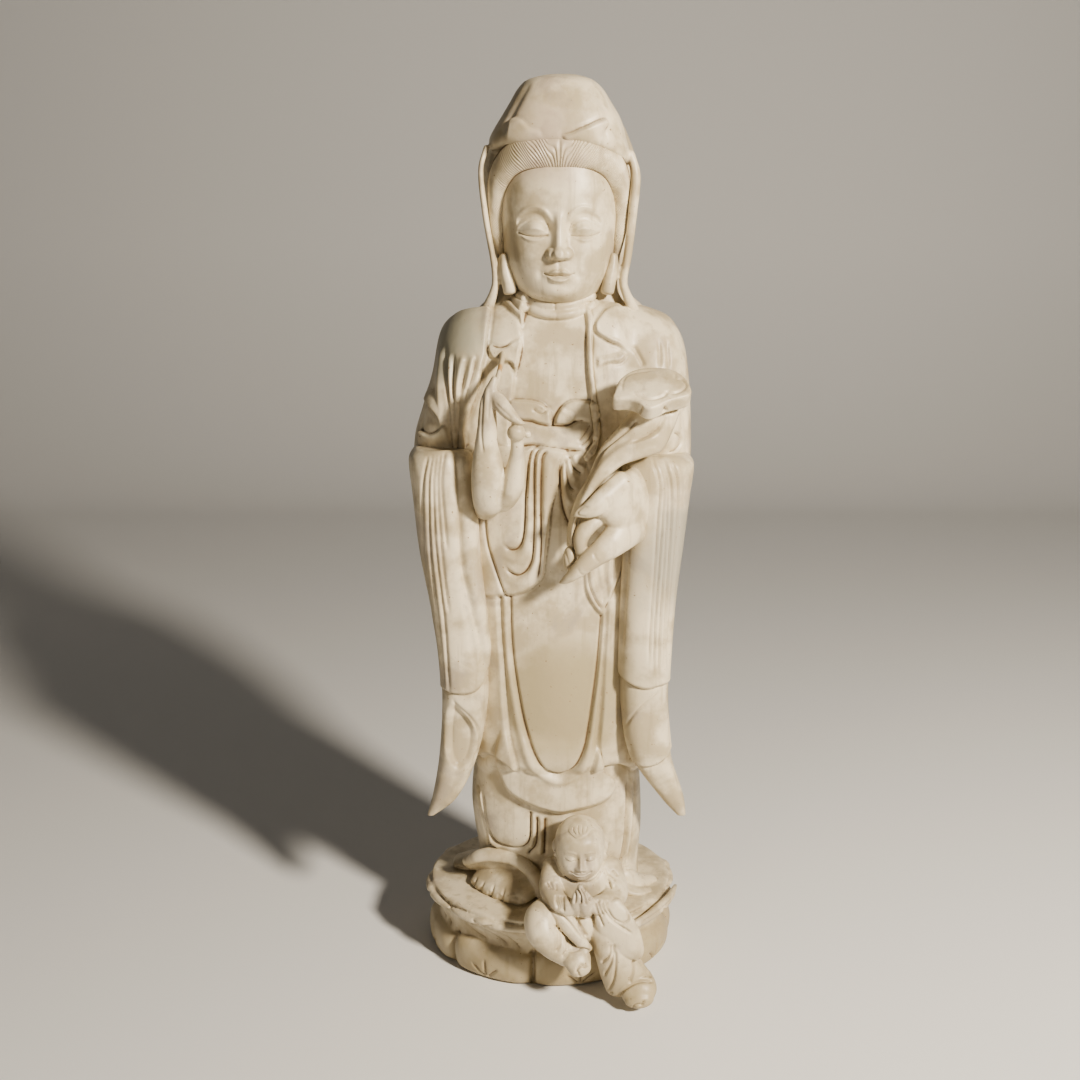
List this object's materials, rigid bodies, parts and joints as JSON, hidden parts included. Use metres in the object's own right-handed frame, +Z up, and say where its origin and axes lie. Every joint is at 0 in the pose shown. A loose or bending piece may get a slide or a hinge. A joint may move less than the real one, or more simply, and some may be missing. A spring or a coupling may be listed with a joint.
{
  "type": "guanyin figure",
  "caption": "Standing Guanyin in a hooded veil with a raised hand and a ruyi sceptre, carved with its lotus plinth and a seated child in one block of white marble.",
  "frame": {"origin": "middle of the plinth's flat underside", "axes": "+Z up along the figure's height, -Y the way the figure faces, +X to the viewer's right"},
  "size_m": [0.3739, 0.382, 1.2],
  "materials": {
    "marble": "hand-polished off-white marble with a soft gloss and dirt in the carved lines"
  },
  "bodies": {
    "root": {"guanyin_figure": "marble"}
  },
  "joints": []
}
